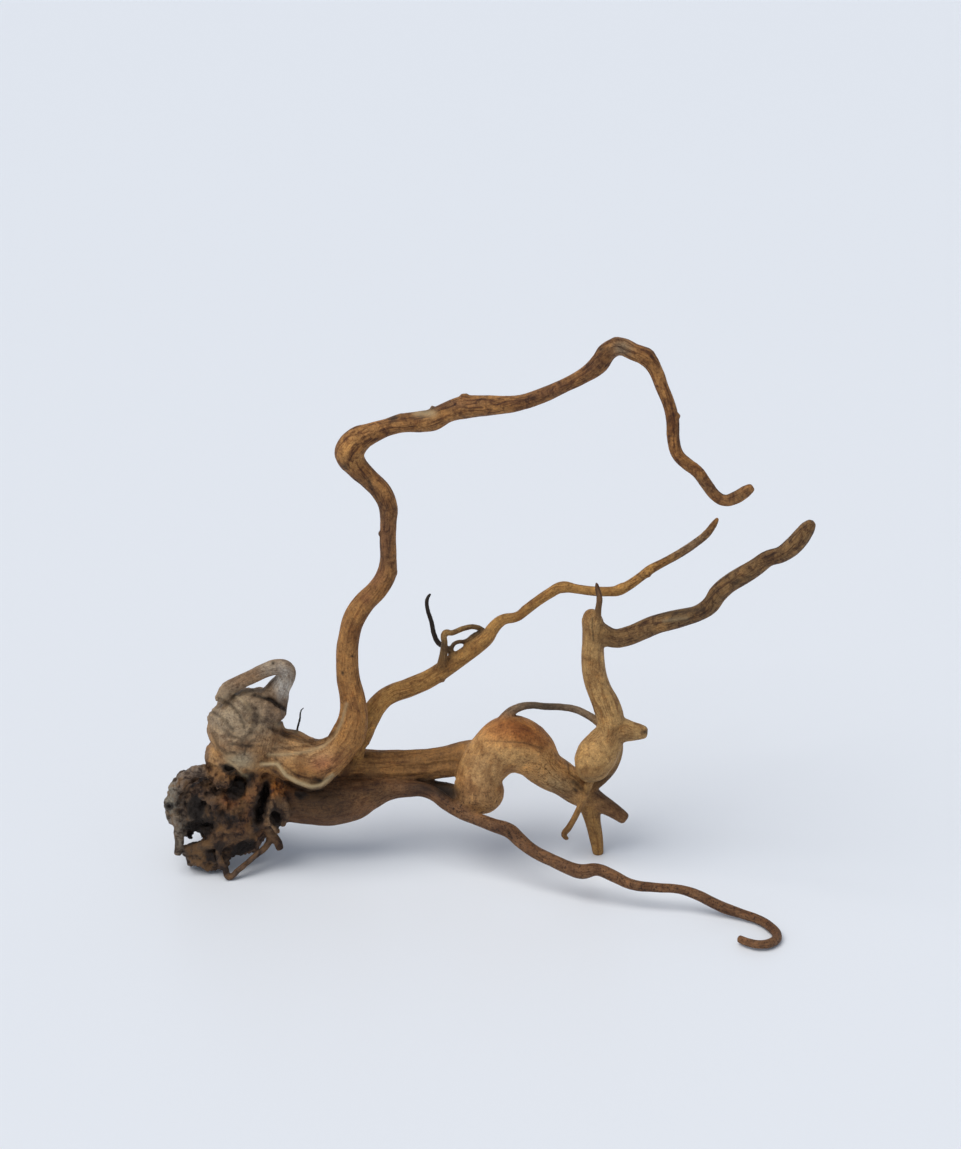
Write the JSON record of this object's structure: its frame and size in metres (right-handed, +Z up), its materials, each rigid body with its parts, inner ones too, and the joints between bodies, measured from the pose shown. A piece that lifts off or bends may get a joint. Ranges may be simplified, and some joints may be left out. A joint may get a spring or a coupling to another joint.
{
  "type": "dry root",
  "caption": "Weathered dry tree root lying on a surface: a knotted burl and rotten stump, with long bare roots rising from it and trailing forward.",
  "frame": {"origin": "on the surface the root lies on, under the middle of its bounding box", "axes": "+X along the root from the stump towards the free root tips, +Z up, -Y towards the side that the long front root trails to"},
  "size_m": [0.6308, 0.2494, 0.5612],
  "materials": {
    "dry_wood": "bare, weathered, matte"
  },
  "bodies": {
    "root": {"dry_root": "dry_wood"}
  },
  "joints": []
}
